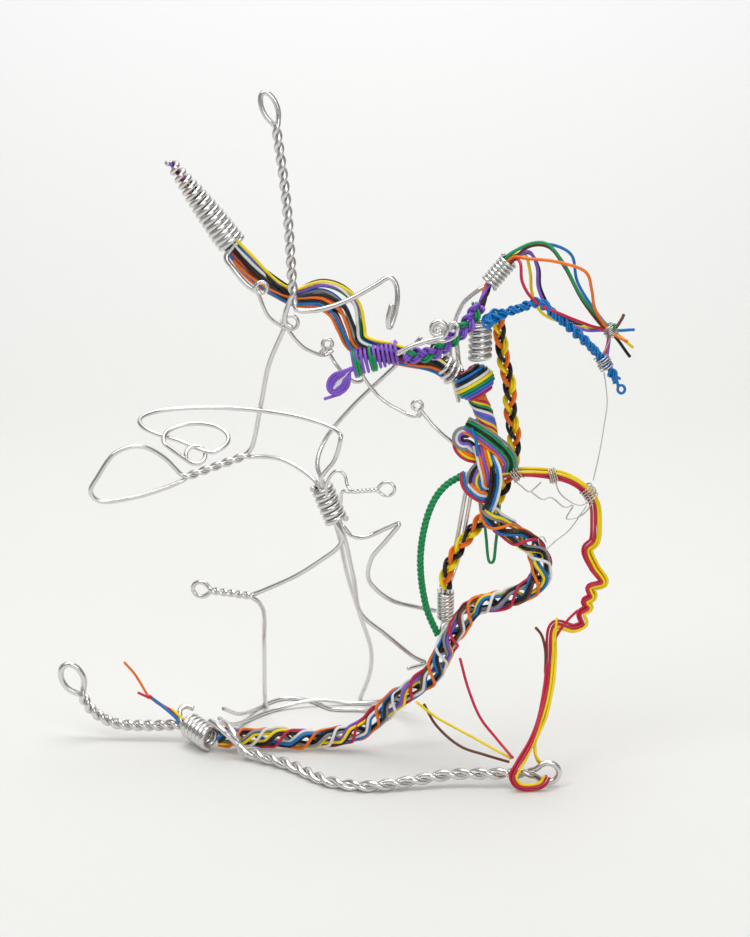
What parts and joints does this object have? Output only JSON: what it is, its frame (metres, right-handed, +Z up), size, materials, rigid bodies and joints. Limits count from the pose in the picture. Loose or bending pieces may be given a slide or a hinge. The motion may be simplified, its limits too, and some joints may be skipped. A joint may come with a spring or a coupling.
{
  "type": "wire sculpture",
  "caption": "Free-standing wire sculpture of a head in profile with a tall swept-up head-dress, in bare aluminium wire and plaited coloured insulated wire, standing on its own base wires",
  "frame": {"origin": "middle of the footprint, on the surface that the sculpture stands on", "axes": "+Z up, the face looks along +X, the viewer stands at -Y"},
  "size_m": [0.2923, 0.1403, 0.344],
  "materials": {
    "bare_aluminium": "bright drawn",
    "fine_wire": "bright drawn",
    "insulation_blue": "gloss PVC insulation",
    "insulation_green": "gloss PVC insulation",
    "insulation_violet": "gloss PVC insulation",
    "insulation_yellow": "gloss PVC insulation",
    "insulation_orange": "gloss PVC insulation",
    "insulation_crimson": "gloss PVC insulation",
    "insulation_brown": "gloss PVC insulation",
    "insulation_black": "gloss PVC insulation"
  },
  "bodies": {
    "root": {"arc_blue": "insulation_blue", "arc_crimson": "insulation_crimson", "arc_green": "insulation_green", "arc_orange": "insulation_orange", "arc_violet": "insulation_violet", "arc_yellow": "insulation_yellow", "base_coil": "bare_aluminium", "base_rod_long": "bare_aluminium", "base_rod_wavy": "bare_aluminium", "blue_rope": "insulation_blue", "braid_black": "insulation_black", "braid_yellow": "insulation_yellow", "crown_coil": "bare_aluminium", "crown_plait_green": "insulation_green", "crown_plait_violet": "insulation_violet", "crown_wire": "bare_aluminium", "curl_wire_lower": "bare_aluminium", "curl_wire_middle": "bare_aluminium", "curl_wire_nape": "bare_aluminium", "curl_wire_top": "bare_aluminium", "curl_wire_upper": "bare_aluminium", "face_line": "insulation_crimson", "fringe_tie": "fine_wire", "front_rope": "bare_aluminium", "green_rope": "insulation_green", "green_v": "insulation_green", "hair_lock": "insulation_black", "hair_tip_coil": "bare_aluminium", "hairline_lace": "fine_wire", "hanging_wire": "fine_wire", "head_knot": "insulation_violet", "left_loop_twist": "bare_aluminium", "left_rope": "bare_aluminium", "main_plait_black": "insulation_black", "main_plait_blue": "insulation_blue", "main_plait_yellow": "insulation_yellow", "nape_coil": "bare_aluminium", "ring_wire": "bare_aluminium", "scroll_wire": "bare_aluminium", "shoulder_coil": "bare_aluminium", "shoulder_wire": "bare_aluminium", "side_twist": "bare_aluminium", "tail_end_blue": "insulation_blue", "tail_end_orange": "insulation_orange", "temple_coil": "bare_aluminium", "throat_wire_brown": "insulation_brown", "throat_wire_crimson": "insulation_crimson", "throat_wire_yellow": "insulation_yellow", "top_twist": "bare_aluminium", "turban_neck": "insulation_black", "turban_wrap": "insulation_blue", "violet_loop": "insulation_violet", "waist_coil": "bare_aluminium", "waist_eye_twist": "bare_aluminium", "zigzag_wire": "bare_aluminium"}
  },
  "joints": []
}
